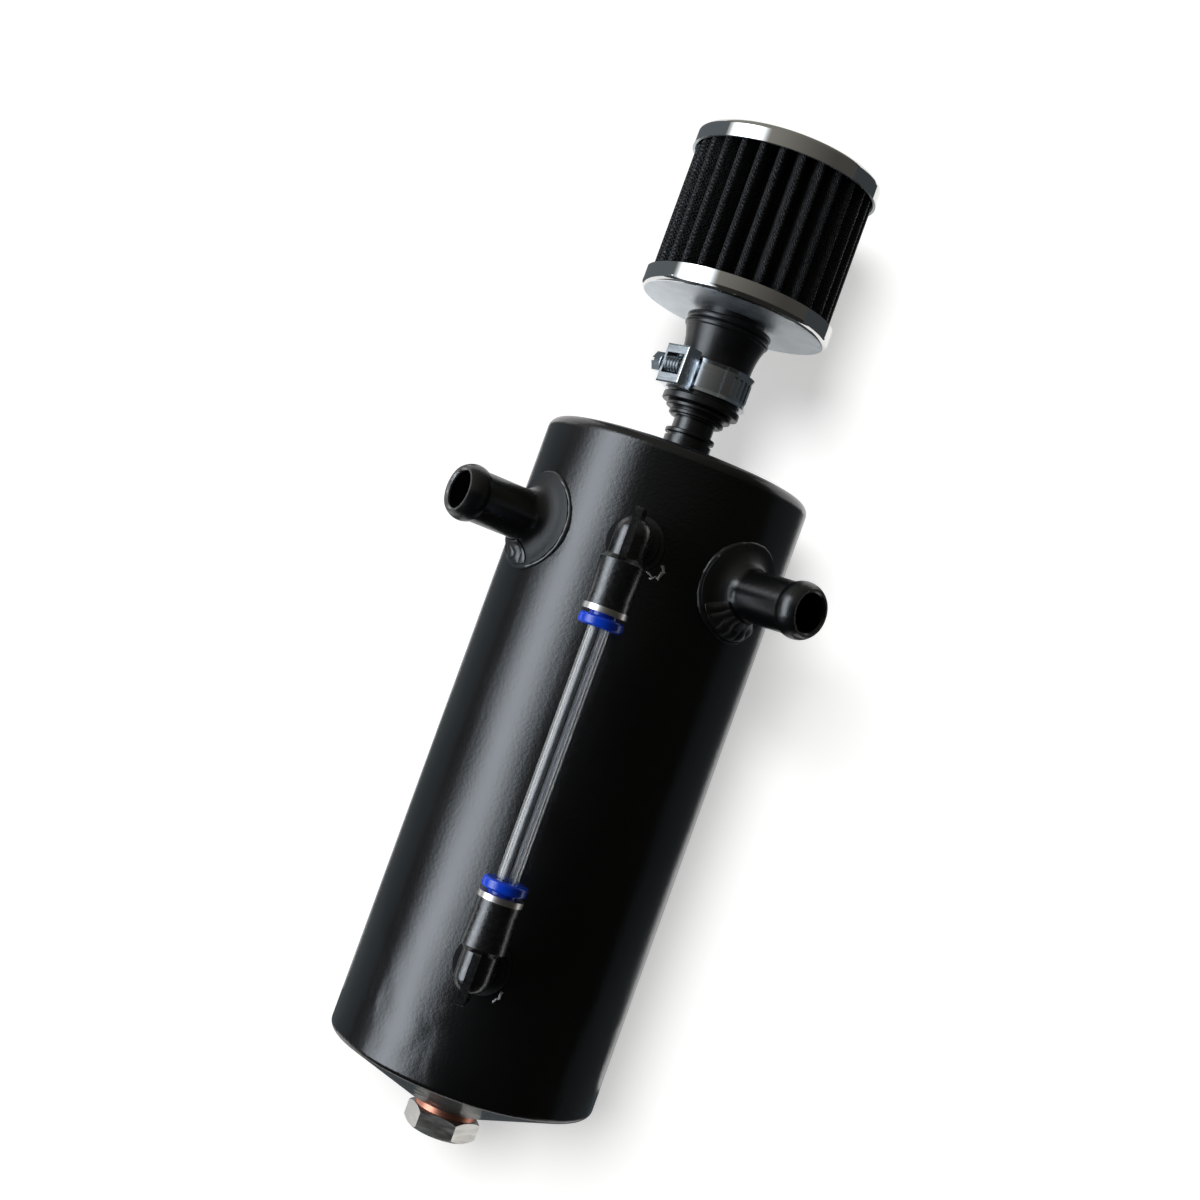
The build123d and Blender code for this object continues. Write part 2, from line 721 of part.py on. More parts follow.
def elbow_body(z, way):
    """Push-in elbow: banded barrel, shoulder, domed neck, arm to the stud and a flat fin over the corner."""
    profile_plane = barrel_plane(z)
    barrel_axis = Axis(profile_plane.origin, profile_plane.y_dir)
    neck_r = elbow_neck_od / 2
    dome_root = elbow_crown - neck_r
    with BuildPart() as elbow:
        with BuildSketch(profile_plane):
            with BuildLine():
                Polyline(
                    (0, -way * elbow_crown),
                    (0, way * barrel_end),
                    (barrel_mouth_od / 2, way * barrel_end),
                    (barrel_mouth_od / 2, way * (barrel_end - barrel_band_length)),
                    (barrel_mouth_od / 2 - barrel_band_step, way * (barrel_end - barrel_band_length)),
                    (barrel_shoulder_od / 2, way * (barrel_shoulder + barrel_shoulder_length)),
                    (neck_r, way * barrel_shoulder),
                    (neck_r, -way * dome_root),
                )
                half = neck_r * sin(pi / 4)
                shoulder = (half, -way * (dome_root + half))
                ThreePointArc((neck_r, -way * dome_root), shoulder, (0, -way * elbow_crown))
            make_face()
        revolve(axis=barrel_axis)
        with BuildSketch(drilling_plane(0, z).offset(stud_flange_front)):
            Circle(elbow_arm_od / 2)
        extrude(amount=gauge_axis - stud_flange_front)
        with BuildSketch(Plane.YZ.offset(-fin_thickness / 2)):
            with Locations(((fin_back - fin_front) / 2 - gauge_axis, z + way * (fin_foot - fin_reach) / 2)):
                RectangleRounded(fin_front + fin_back, fin_foot + fin_reach, fin_corner_radius)
        extrude(amount=fin_thickness)
        with BuildSketch(profile_plane):
            with BuildLine():
                Polyline(
                    (0, 0),
                    (stud_passage_d / 2, 0),
                    (stud_passage_d / 2, way * tube_stop),
                    (tube_od / 2 + elbow_fit_gap, way * tube_stop),
                    (tube_od / 2 + elbow_fit_gap, way * cartridge_floor),
                    (cartridge_d / 2, way * cartridge_floor),
                    (cartridge_d / 2, way * barrel_end),
                    (0, way * barrel_end),
                    close=True,
                )
            make_face()
        revolve(axis=barrel_axis, mode=Mode.SUBTRACT)
        arm_turn = turning_plane(0, z)
        insert_end = stud_flange_front + stud_insert_length + elbow_fit_gap
        with BuildSketch(arm_turn):
            with BuildLine():
                Polyline(
                    (0, stud_flange_front),
                    (stud_insert_d / 2 + elbow_fit_gap, stud_flange_front),
                    (stud_insert_d / 2 + elbow_fit_gap, insert_end),
                    (stud_passage_d / 2, insert_end),
                    (stud_passage_d / 2, gauge_axis),
                    (0, gauge_axis),
                    close=True,
                )
            make_face()
        revolve(axis=Axis(arm_turn.origin, arm_turn.y_dir), mode=Mode.SUBTRACT)
    return elbow.part


def gauge_stud(z):
    """Threaded stud with a round flange, moulded into the elbow's arm."""
    return turned(
        turning_plane(0, z),
        [
            (stud_passage_d / 2, tank_r - stud_inside),
            (stud_thread_d / 2, tank_r - stud_inside),
            (stud_thread_d / 2, stud_flange_back),
            (stud_flange_od / 2, stud_flange_back),
            (stud_flange_od / 2, stud_flange_front),
            (stud_insert_d / 2, stud_flange_front),
            (stud_insert_d / 2, stud_flange_front + stud_insert_length),
            (stud_passage_d / 2, stud_flange_front + stud_insert_length),
        ],
    )


def ferrule(z, way):
    """Plated ring that caps the barrel's mouth, with a skirt that holds the grab ring down."""
    skirt_r = cartridge_d / 2 - cartridge_fit_gap
    bore_r = skirt_r - ring_skirt_wall
    return turned(
        barrel_plane(z),
        [
            (bore_r, way * skirt_floor),
            (skirt_r, way * skirt_floor),
            (skirt_r, way * barrel_end),
            (ring_flange_od / 2, way * barrel_end),
            (ring_flange_od / 2, way * ring_front),
            (bore_r, way * ring_front),
        ],
    )


def release_collet(z, way):
    """Release collet: sleeve around the tube with a rounded pressing flange."""
    bore_r = tube_od / 2 + collet_running_gap
    sleeve_r = bore_r + collet_sleeve_wall
    flange_r = collet_flange_od / 2
    flange_front = way * (collet_flange_back + collet_flange_thickness)
    plane = barrel_plane(z)
    with BuildPart() as collet:
        with BuildSketch(plane) as profile:
            with BuildLine():
                Polyline(
                    (bore_r, way * collet_tip),
                    (sleeve_r, way * collet_tip),
                    (sleeve_r, way * collet_flange_back),
                    (flange_r, way * collet_flange_back),
                    (flange_r, flange_front),
                    (bore_r, flange_front),
                    close=True,
                )
            make_face()
            fillet(corner(profile, flange_r, way * collet_flange_back), collet_edge_radius)
            fillet(corner(profile, flange_r, flange_front), collet_edge_radius)
        revolve(axis=Axis(plane.origin, plane.y_dir))
    return collet.part


# Sight gauge: one set of fittings at each end of the tube, facing each other
thread_bore_r = stud_thread_d / 2 + stud_thread_clearance
seal_bore_r = stud_thread_d / 2 + stud_seal_gap
grip_r = tube_od / 2 + tube_grip_gap
cartridge_r = cartridge_d / 2 - cartridge_fit_gap
for end, z, way in (("upper", gauge_upper_z, -1), ("lower", gauge_lower_z, 1)):
    radial = turning_plane(0, z)
    barrel = barrel_plane(z)
    boss = ring_outline(thread_bore_r, boss_od / 2, tank_r - boss_inside, boss_face)
    save(turned(radial, boss), f"{end}_gauge_boss")
    save(gauge_stud(z), f"{end}_gauge_stud")
    stud_seal = ring_outline(seal_bore_r, stud_seal_od / 2, boss_face, stud_flange_back)
    save(turned(radial, stud_seal), f"{end}_stud_seal")
    save(elbow_body(z, way), f"{end}_elbow_body")
    tube_seal = ring_outline(grip_r, cartridge_r, way * cartridge_floor, way * grab_ring_floor)
    save(turned(barrel, tube_seal), f"{end}_tube_seal")
    grab_ring = ring_outline(grip_r, cartridge_r, way * grab_ring_floor, way * skirt_floor)
    save(turned(barrel, grab_ring), f"{end}_grab_ring")
    save(ferrule(z, way), f"{end}_ferrule")
    save(release_collet(z, way), f"{end}_release_collet")

# Sight tube between the two elbows
tube_low = tube_stop + tube_end_gap
tube_high = gauge_upper_z - gauge_lower_z - tube_stop - tube_end_gap
sight_tube = ring_outline(tube_bore / 2, tube_od / 2, tube_low, tube_high)
save(turned(barrel_plane(gauge_lower_z), sight_tube), "sight_tube")
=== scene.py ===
import json
import math

import bpy
from mathutils import Matrix, Vector
from mathutils.bvhtree import BVHTree


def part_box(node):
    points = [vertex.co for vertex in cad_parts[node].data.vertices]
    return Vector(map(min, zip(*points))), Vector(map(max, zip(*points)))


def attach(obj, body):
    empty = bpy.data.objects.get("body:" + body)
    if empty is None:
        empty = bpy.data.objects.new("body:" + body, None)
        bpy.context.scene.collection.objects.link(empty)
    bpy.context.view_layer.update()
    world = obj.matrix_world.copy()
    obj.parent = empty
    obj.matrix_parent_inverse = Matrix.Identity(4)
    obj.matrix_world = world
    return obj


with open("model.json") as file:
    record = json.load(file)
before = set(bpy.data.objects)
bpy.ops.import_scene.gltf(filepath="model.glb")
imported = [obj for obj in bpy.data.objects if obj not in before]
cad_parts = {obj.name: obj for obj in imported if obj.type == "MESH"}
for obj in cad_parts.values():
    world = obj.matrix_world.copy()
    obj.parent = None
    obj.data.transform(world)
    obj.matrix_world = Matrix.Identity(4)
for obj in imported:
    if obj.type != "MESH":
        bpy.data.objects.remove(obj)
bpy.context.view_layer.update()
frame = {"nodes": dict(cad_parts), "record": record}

nodes = frame["nodes"]
scene = bpy.context.scene
scene.view_settings.view_transform = "Standard"
bpy.ops.object.select_all(action="DESELECT")

# Places on the can, in metres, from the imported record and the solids; the two hose tails are mirror twins
LEFT = -1
RIGHT = 1
mounts = {mount["name"]: mount for mount in frame["record"]["mounts"]}
port = mounts["right_tail_bore"]
port_axis = Vector(port["axis"])
TANK_RADIUS = mounts["body_band"]["dims"]["r_mm"] / 1000
TAIL_BORE_RADIUS = port["dims"]["r_mm"] / 1000
PORT_ANGLE = math.atan2(port_axis.x, -port_axis.y)
PORT_HEIGHT = port["pos_m"][2]
tail_places = [vertex.co - Vector((0, 0, PORT_HEIGHT)) for vertex in nodes["right_hose_tail"].data.vertices]
TAIL_TIP = max(place.dot(port_axis) for place in tail_places)
COLLAR_RADIUS = max(place.cross(port_axis).length for place in tail_places)


class Tree:
    """A node tree, built one node at a time."""

    def __init__(self, owner, emptied=True):
        owner.use_nodes = True
        self.tree = owner.node_tree
        if emptied:
            self.tree.nodes.clear()

    def add(self, kind, **settings):
        """A new node with its own settings."""
        made = self.tree.nodes.new(kind)
        for name, value in settings.items():
            setattr(made, name, value)
        return made

    def join(self, source, target):
        """A link between two sockets."""
        self.tree.links.new(source, target)

    def combine(self, operation, first, second=0.0):
        """Two values, each a socket or a number, taken together."""
        made = self.add("ShaderNodeMath", operation=operation)
        for socket, value in zip(made.inputs, (first, second)):
            if isinstance(value, (int, float)):
                socket.default_value = value
            else:
                self.join(value, socket)
        return made.outputs["Value"]

    def remap(self, value, given, wanted=(0, 1)):
        """A value stretched from the range it is given in to the wanted one, and kept inside that."""
        made = self.add("ShaderNodeMapRange")
        for name, limit in zip(("From Min", "From Max", "To Min", "To Max"), (*given, *wanted)):
            made.inputs[name].default_value = limit
        self.join(value, made.inputs["Value"])
        return made.outputs["Result"]

    def axes(self, places):
        """The X, Y and Z of a place."""
        split = self.add("ShaderNodeSeparateXYZ")
        self.join(places, split.inputs["Vector"])
        return split.outputs["X"], split.outputs["Y"], split.outputs["Z"]

    def mix_shaders(self, share, first, second):
        """The first shader where the share is 0, the second where it is 1."""
        made = self.add("ShaderNodeMixShader")
        for socket, source in zip(made.inputs, (share, first, second)):
            self.join(source, socket)
        return made.outputs["Shader"]


class Finish(Tree):
    """A material of the can, with its patterns on Object coordinates."""

    # Sockets of a Mix node when it mixes colours
    MIX_SHARE = 0
    MIX_COLOURS = (6, 7)
    MIX_RESULT = 2

    def __init__(self, name):
        self.material = bpy.data.materials.new(name)
        super().__init__(self.material, emptied=False)
        self.surface = self.tree.nodes["Principled BSDF"]
        self.places = self.add("ShaderNodeTexCoord").outputs["Object"]

    def set(self, **values):
        """Plain values of the surface's own sockets, spaces in the names written as underscores."""
        for name, value in values.items():
            self.surface.inputs[name.replace("_", " ")].default_value = value

    def feed(self, name, socket):
        """A socket linked to one of the surface's own."""
        self.join(socket, self.surface.inputs[name])

    def fed(self, name):
        """The socket that already feeds one of the surface's own."""
        return self.surface.inputs[name].links[0].from_socket

    def turned_places(self, turn=(0, 0, 0), stretch=(1, 1, 1)):
        """Object coordinates, turned and stretched."""
        mapping = self.add("ShaderNodeMapping")
        mapping.inputs["Rotation"].default_value = turn
        mapping.inputs["Scale"].default_value = stretch
        self.join(self.places, mapping.inputs["Vector"])
        return mapping.outputs["Vector"]

    def noise(self, grains, detail=2.0, roughness=0.5, distortion=0.0, places=None):
        """Noise with so many grains in a metre."""
        made = self.add("ShaderNodeTexNoise")
        made.inputs["Scale"].default_value = grains
        made.inputs["Detail"].default_value = detail
        made.inputs["Roughness"].default_value = roughness
        made.inputs["Distortion"].default_value = distortion
        self.join(places or self.places, made.inputs["Vector"])
        return made.outputs["Fac"]

    def distance(self, first, second):
        """Distance from the origin of a plane."""
        squares = [self.combine("MULTIPLY", value, value) for value in (first, second)]
        return self.combine("SQRT", self.combine("ADD", *squares))

    def mix(self, share, first, second):
        """Two colours mixed by a share; each may be a socket or a plain colour."""
        made = self.add("ShaderNodeMix", data_type="RGBA")
        self.join(share, made.inputs[self.MIX_SHARE])
        for index, value in zip(self.MIX_COLOURS, (first, second)):
            if isinstance(value, tuple):
                made.inputs[index].default_value = (*value, 1)
            else:
                self.join(value, made.inputs[index])
        return made.outputs[self.MIX_RESULT]

    def bump(self, height, strength, depth):
        """Relief on the surface, on top of any earlier relief."""
        made = self.add("ShaderNodeBump")
        made.inputs["Strength"].default_value = strength
        made.inputs["Distance"].default_value = depth
        self.join(height, made.inputs["Height"])
        if self.surface.inputs["Normal"].is_linked:
            self.join(self.fed("Normal"), made.inputs["Normal"])
        self.feed("Normal", made.outputs["Normal"])


def satin_black(name, tone=0.0024, rough=(0.20, 0.26), shine=0.72):
    """Satin black coat on wavy sheet, dented low down, with a fine skin, handling marks and pale specks."""
    coat = Finish(name)
    coat.set(Specular_IOR_Level=shine)
    marks = coat.noise(28, detail=5, roughness=0.65, distortion=0.9)
    coat.feed("Roughness", coat.remap(marks, (0.3, 0.72), rough))
    clean = (tone, tone, tone * 1.1)
    hazy = (tone * 1.6, tone * 1.65, tone * 1.8)
    dust = (0.16, 0.16, 0.16)
    haze = coat.remap(coat.noise(35, detail=3, roughness=0.55), (0.35, 0.75))
    specks = coat.remap(coat.noise(330, detail=1, roughness=0.4), (0.835, 0.85))
    coat.feed("Base Color", coat.mix(specks, coat.mix(haze, clean, hazy), dust))
    waves = coat.noise(18, detail=1, roughness=0.4, distortion=0.5)
    coat.bump(waves, strength=0.6, depth=0.0028)
    dented_heights = (0.012, 0.05)
    low_down = coat.remap(coat.axes(coat.places)[2], dented_heights, (1, 0))
    dents = coat.noise(60, detail=1, roughness=0.4, distortion=0.7)
    coat.bump(coat.combine("MULTIPLY", dents, low_down), strength=0.5, depth=0.0013)
    skin = coat.noise(950, detail=3, roughness=0.65)
    coat.bump(skin, strength=0.4, depth=0.00015)
    return coat


def painted_tail(name, side, lip):
    """The coat on a hose tail: worn lip at the mouth, dull collar, lumpy weld on the collar's lower side."""
    lip_depths = (0.0011, 0.0007)
    lip_widths = (0.00035, 0.00065)
    collar_root = (0.0078, 0.0095)
    collar_dullness = 0.34
    weld_root = (0.0095, 0.0125)
    weld_heights = (-0.010, 0.006)
    weld_slant = side * -0.7
    coat = satin_black(name, rough=(0.22, 0.30))
    across, depth, height = coat.axes(coat.turned_places(turn=(0, 0, -side * PORT_ANGLE)))
    reach = coat.combine("MULTIPLY", depth, -1.0)
    height = coat.combine("SUBTRACT", height, PORT_HEIGHT)
    radius = coat.distance(across, height)
    at_tip = coat.remap(reach, [TAIL_TIP - below for below in lip_depths])
    at_lip = coat.remap(radius, [TAIL_BORE_RADIUS + beside for beside in lip_widths], (1, 0))
    worn = coat.remap(coat.noise(300), (0.35, 0.5), (0.6, 1))
    bare = coat.combine("MULTIPLY", coat.combine("MULTIPLY", at_tip, at_lip), worn)
    coat.feed("Base Color", coat.mix(bare, coat.fed("Base Color"), (lip, lip, lip)))
    coat.feed("Metallic", bare)
    dull = coat.combine("MULTIPLY", coat.remap(radius, collar_root), collar_dullness)
    coat.feed("Roughness", coat.combine("ADD", coat.fed("Roughness"), dull))
    slanted = coat.combine("ADD", height, coat.combine("MULTIPLY", across, weld_slant))
    lower_side = coat.remap(slanted, weld_heights, (1, 0.15))
    welded = coat.combine("MULTIPLY", coat.remap(radius, weld_root), lower_side)
    lumps = coat.noise(330, distortion=0.8)
    coat.bump(coat.combine("MULTIPLY", lumps, welded), strength=0.55, depth=0.0011)
    return coat


def bright_metal(name, colour, rough, grains=200, flatten=1):
    """Plated or machined metal with fine streaks of roughness, flattened along the can's axis."""
    metal = Finish(name)
    metal.set(Base_Color=(*colour, 1), Metallic=1.0)
    flat_places = metal.turned_places(stretch=(1, 1, flatten))
    streaks = metal.noise(grains, detail=3, roughness=0.6, places=flat_places)
    metal.feed("Roughness", metal.remap(streaks, (0.25, 0.75), rough))
    metal.bump(streaks, strength=0.15, depth=0.00003)
    return metal


def cap_chrome(name):
    """Polished chrome with faint smears; the pressed underside stays satin."""
    polished = (0.70, 0.70, 0.69)
    pressed = (0.60, 0.64, 0.67)
    chrome = Finish(name)
    chrome.set(Metallic=1.0)
    facing = chrome.add("ShaderNodeNewGeometry").outputs["Normal"]
    underside = chrome.remap(chrome.axes(facing)[2], (-0.93, -0.98))
    wiped = chrome.noise(70, detail=4, roughness=0.6, distortion=0.8)
    smears = chrome.remap(wiped, (0.45, 0.8), (0.025, 0.09))
    satin = chrome.remap(chrome.noise(260), (0.3, 0.7), (0.40, 0.5))
    satin = chrome.combine("MULTIPLY", satin, underside)
    chrome.feed("Roughness", chrome.combine("MAXIMUM", smears, satin))
    chrome.feed("Base Color", chrome.mix(underside, polished, pressed))
    chrome.bump(chrome.noise(90), strength=0.06, depth=0.00008)
    return chrome


def black_rubber(name, tone=0.0026, rough=(0.28, 0.36)):
    """Moulded black rubber with a fine bloom."""
    clean = (tone, tone, tone)
    bloomed = (tone * 2.2, tone * 2.2, tone * 2.3)
    rubber = Finish(name)
    rubber.set(Specular_IOR_Level=0.6)
    bloom = rubber.remap(rubber.noise(60, detail=4, roughness=0.6), (0.3, 0.75))
    rubber.feed("Base Color", rubber.mix(bloom, clean, bloomed))
    rubber.feed("Roughness", rubber.remap(rubber.noise(500), (0.3, 0.7), rough))
    rubber.bump(rubber.noise(1500), strength=0.15, depth=0.00006)
    return rubber


def moulded_plastic(name, colour, rough, lift=1.5, shine=0.6, skin=0.06):
    """Injection-moulded plastic with paler flow marks and a fine satin skin."""
    paler = tuple(channel * lift for channel in colour)
    plastic = Finish(name)
    plastic.set(Specular_IOR_Level=shine)
    flow = plastic.remap(plastic.noise(90, detail=3), (0.3, 0.75))
    plastic.feed("Base Color", plastic.mix(flow, colour, paler))
    plastic.feed("Roughness", plastic.remap(plastic.noise(700), (0.3, 0.7), rough))
    plastic.bump(plastic.noise(1300, roughness=0.6), strength=skin, depth=0.0001)
    return plastic


def clear_plastic(name):
    """Clear extruded tube with drawn lines along it, some of them frosted."""
    clear = Finish(name)
    clear.set(Base_Color=(0.96, 0.975, 0.985, 1), Transmission_Weight=1.0, IOR=1.47, Specular_IOR_Level=1.0)
    drawn_places = clear.turned_places(stretch=(1, 1, 0.0008))
    lines = clear.noise(1500, detail=1, places=drawn_places)
    clear.feed("Roughness", clear.remap(lines, (0.50, 0.54), (0.0, 0.30)))
    clear.bump(lines, strength=0.25, depth=0.00025)
    return clear


def meshed_pleats(name):
    """Oiled cotton pleats under fine black wire mesh, its wires slanting both ways, with painted glints
    speckled over the wires.
    """
    wire_pitch = 0.0011
    wire_wander = 0.00035
    unrolled_radius = 0.0265
    cotton = (0.0015, 0.0015, 0.002)
    dull_wire = (0.010, 0.0105, 0.012)
    # Painted glint: a pale wire colour that stands in for light sparkling off the mesh
    sparkle_painted_wire = (0.085, 0.087, 0.095)
    cloth = Finish(name)
    cloth.set(Specular_IOR_Level=0.5)
    x, y, z = cloth.axes(cloth.places)
    around = cloth.combine("MULTIPLY", cloth.combine("ARCTAN2", y, x), unrolled_radius)
    uneven = cloth.remap(cloth.noise(420), (0.3, 0.7), (-wire_wander, wire_wander))
    along = cloth.combine("ADD", cloth.combine("ADD", around, cloth.distance(x, y)), uneven)
    wires = []
    for slant in ("ADD", "SUBTRACT"):
        turns = cloth.combine("MULTIPLY", cloth.combine(slant, along, z), 2 * math.pi / wire_pitch)
        wires.append(cloth.combine("SINE", turns))
    weave = cloth.combine("MAXIMUM", *wires)
    wired = cloth.remap(weave, (0.45, 0.85))
    # Random specks of the painted glint colour on the wires: painted highlights, not the wire's own colour
    painted_sparkle = cloth.remap(cloth.noise(1700, roughness=0.6), (0.42, 0.68))
    cloth.feed("Base Color", cloth.mix(wired, cotton, cloth.mix(painted_sparkle, dull_wire, sparkle_painted_wire)))
    cloth.feed("Roughness", cloth.remap(wired, (0, 1), (0.9, 0.30)))
    cloth.bump(weave, strength=0.8, depth=0.0004)
    return cloth


FINISHES = {
    "tank_black": satin_black("tank_black"),
    "bung_black": satin_black("bung_black", rough=(0.33, 0.42)),
    "stub_black": satin_black("stub_black", rough=(0.24, 0.32)),
    "stud_black": satin_black("stud_black", rough=(0.30, 0.38)),
    "left_tail_black": painted_tail("left_tail_black", LEFT, lip=0.30),
    "right_tail_black": painted_tail("right_tail_black", RIGHT, lip=0.06),
    "weld_black": satin_black("weld_black", rough=(0.30, 0.40), shine=1.0),
    "copper": bright_metal("copper", (0.60, 0.25, 0.17), rough=(0.28, 0.5)),
    "plug_steel": bright_metal("plug_steel", (0.62, 0.60, 0.57), rough=(0.22, 0.42), grains=160, flatten=6),
    "neck_rubber": black_rubber("neck_rubber"),
    "seal_rubber": black_rubber("seal_rubber"),
    "filter_chrome": cap_chrome("filter_chrome"),
    "filter_cloth": meshed_pleats("filter_cloth"),
    "clamp_zinc": bright_metal("clamp_zinc", (0.62, 0.66, 0.70), rough=(0.14, 0.26), grains=300, flatten=5),
    "nickel": bright_metal("nickel", (0.72, 0.69, 0.65), rough=(0.28, 0.40)),
    "elbow_black": moulded_plastic("elbow_black", (0.003, 0.003, 0.0035), rough=(0.22, 0.34),
                                   shine=1.0, skin=0.5),
    "collet_blue": moulded_plastic("collet_blue", (0.001, 0.044, 0.50), rough=(0.20, 0.30), lift=1.2),
    "clear_tube": clear_plastic("clear_tube"),
    "sealant_grey": moulded_plastic("sealant_grey", (0.34, 0.34, 0.34), rough=(0.45, 0.6), lift=1.6),
}

for part in frame["record"]["subparts"]:
    slot = part["material_slot"]
    if slot == "tail_black":
        slot = part["node"].split("_")[0] + "_tail_black"
    mesh = nodes[part["node"]].data
    mesh.materials.clear()
    mesh.materials.append(FINISHES[slot].material)


def port_ways(side):
    """The way out along a hose tail, and the level way across it."""
    out_way = Vector((side * math.sin(PORT_ANGLE), -math.cos(PORT_ANGLE), 0))
    side_way = Vector((math.cos(PORT_ANGLE), side * math.sin(PORT_ANGLE), 0))
    return out_way, side_way


def face_outwards():
    """Turns the faces of the active piece outwards."""
    bpy.ops.object.mode_set(mode="EDIT")
    bpy.ops.mesh.select_all(action="SELECT")
    bpy.ops.mesh.normals_make_consistent(inside=False)
    bpy.ops.object.mode_set(mode="OBJECT")


def dress(piece, finish):
    """Smooths a new piece, gives it its finish and lets it ride on the can."""
    bpy.ops.object.shade_smooth()
    piece.data.materials.append(FINISHES[finish].material)
    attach(piece, "can")
    piece.select_set(False)


# Weld beads, in metres; a swell has a count around the collar, a share of the bead and a start in radians
BEAD_RADIUS = 0.0007
BEAD_LIFT = 0.0001
BEAD_SWELLS = ((19, 0.08, 0.0), (31, 0.06, 1.3), (5, 0.20, 2.1))


def weld_bead(name, side):
    """Lumpy bead laid along the edge of a hose tail's collar, where it meets the wall."""
    bpy.ops.mesh.primitive_torus_add(major_radius=COLLAR_RADIUS, minor_radius=BEAD_RADIUS,
                                     major_segments=160, minor_segments=10)
    bead = bpy.context.object
    bead.name = name
    out_way, side_way = port_ways(side)
    for vertex in bead.data.vertices:
        x, y, z = vertex.co
        turn = math.atan2(y, x)
        swell = 1 + sum(share * math.sin(count * turn + start) for count, share, start in BEAD_SWELLS)
        ring = COLLAR_RADIUS + (math.hypot(x, y) - COLLAR_RADIUS) * swell
        level = ring * math.cos(turn)
        wall = math.sqrt(TANK_RADIUS ** 2 - level ** 2)
        place = out_way * (wall + BEAD_LIFT + z * swell) + side_way * level
        vertex.co = place + Vector((0, 0, PORT_HEIGHT + ring * math.sin(turn)))
    face_outwards()
    dress(bead, "weld_black")


# Weld ripples, in metres; they are dropped onto the collar from a start behind the tail's bead
RIPPLE_INNER = 0.0076
RIPPLE_OUTER = 0.0133
RIPPLE_START = 0.056
RIPPLE_BED = 0.00025
RIPPLE_HEIGHT = 0.0008
RIPPLE_SINK = 0.00015
RIPPLE_WALL = 0.0005

# How the ripples run, in radians, and how round their backs are
RIPPLE_RATE = 9.5
RIPPLE_BOW = 0.9
RIPPLE_WANDER = 0.35
RIPPLE_ROUNDNESS = 0.7

# Where the ripples begin and end around each tail, in degrees
LEFT_RIPPLE_ENDS = (-165, -70)
RIGHT_RIPPLE_ENDS = (-150, -40)


def ripple_height(turn, along, out):
    """Height of the weld's scales over the collar; along and out run from -1 to 1, and the edges sink in."""
    wander = RIPPLE_BOW * out * out + RIPPLE_WANDER * math.sin(3 * out + 5 * turn)
    scale = abs(math.sin(RIPPLE_RATE * turn + wander)) ** RIPPLE_ROUNDNESS
    fade = (1 - along ** 4) * (1 - out ** 4)
    return fade * (RIPPLE_BED + RIPPLE_HEIGHT * scale) - RIPPLE_SINK


def weld_ripples(name, side, tail, ends):
    """Rough run of weld under a hose tail: scales laid one over the next, out to the collar's edge."""
    bpy.ops.mesh.primitive_grid_add(x_subdivisions=120, y_subdivisions=24, size=2)
    run = bpy.context.object
    run.name = name
    out_way, side_way = port_ways(side)
    first_turn, last_turn = (math.radians(end) for end in ends)
    collar = BVHTree.FromObject(tail, bpy.context.evaluated_depsgraph_get())
    for vertex in run.data.vertices:
        along, out = vertex.co.x, vertex.co.y
        turn = first_turn + (last_turn - first_turn) * (along + 1) / 2
        ring = RIPPLE_INNER + (RIPPLE_OUTER - RIPPLE_INNER) * (out + 1) / 2
        above = out_way * RIPPLE_START + side_way * (ring * math.cos(turn))
        above += Vector((0, 0, PORT_HEIGHT + ring * math.sin(turn)))
        spot, facing = collar.ray_cast(above, -out_way)[:2]
        vertex.co = spot + facing * ripple_height(turn, along, out)
    bpy.ops.object.modifier_add(type="SOLIDIFY")
    run.modifiers[0].thickness = RIPPLE_WALL
    bpy.ops.object.modifier_apply(modifier=run.modifiers[0].name)
    face_outwards()
    dress(run, "weld_black")


weld_bead("left_weld_bead", LEFT)
weld_bead("right_weld_bead", RIGHT)
weld_ripples("left_weld_ripples", LEFT, nodes["left_hose_tail"], LEFT_RIPPLE_ENDS)
weld_ripples("right_weld_ripples", RIGHT, nodes["right_hose_tail"], RIGHT_RIPPLE_ENDS)

# Crumbs of sealant, in metres and radians: across and up from the stud, half length, half width, lean
UPPER_CRUMBS = (
    (0.0094, -0.0040, 0.0010, 0.0006, 1.3),
    (0.0091, -0.0060, 0.0011, 0.0006, 0.5),
    (0.0076, -0.0070, 0.0013, 0.0003, 0.3),
    (0.0060, -0.0062, 0.0017, 0.0003, -0.8),
)
LOWER_CRUMBS = (
    (0.0073, -0.0062, 0.0011, 0.0005, 0.9),
    (0.0064, -0.0077, 0.0008, 0.0004, 0.2),
)
CRUMB_PROUD = 0.0004
CRUMB_BULGE = 0.3
CRUMB_BEND = 2.4


def on_wall(across, height, proud):
    """A place on the tank's front wall, or proud of it."""
    turn = across / TANK_RADIUS
    out = TANK_RADIUS + proud
    return Vector((out * math.sin(turn), -out * math.cos(turn), height))


def sealant_crumbs(name, stud, crumbs):
    """Crumbs of pale thread sealant, squeezed out beside a gauge stud and stuck to the wall."""
    low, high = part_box(stud)
    middle = (low.z + high.z) / 2
    stuck = []
    for across, height, long, wide, lean in crumbs:
        bpy.ops.mesh.primitive_ico_sphere_add(subdivisions=3, radius=1)
        crumb = bpy.context.object
        for vertex in crumb.data.vertices:
            x, y, z = vertex.co
            lumps = math.sin(5 * x + 3 * y + 900 * across) * math.cos(4 * z - 3 * x)
            bulge = 1 + CRUMB_BULGE * lumps
            along = x * long * bulge
            up = y * wide * bulge + wide * math.sin(CRUMB_BEND * x)
            vertex.co = on_wall(across + along * math.cos(lean) - up * math.sin(lean),
                                middle + height + along * math.sin(lean) + up * math.cos(lean),
                                CRUMB_PROUD * z * bulge)
        stuck.append(crumb)
    for crumb in stuck:
        crumb.select_set(True)
    bpy.ops.object.join()
    piece = bpy.context.object
    piece.name = name
    dress(piece, "sealant_grey")


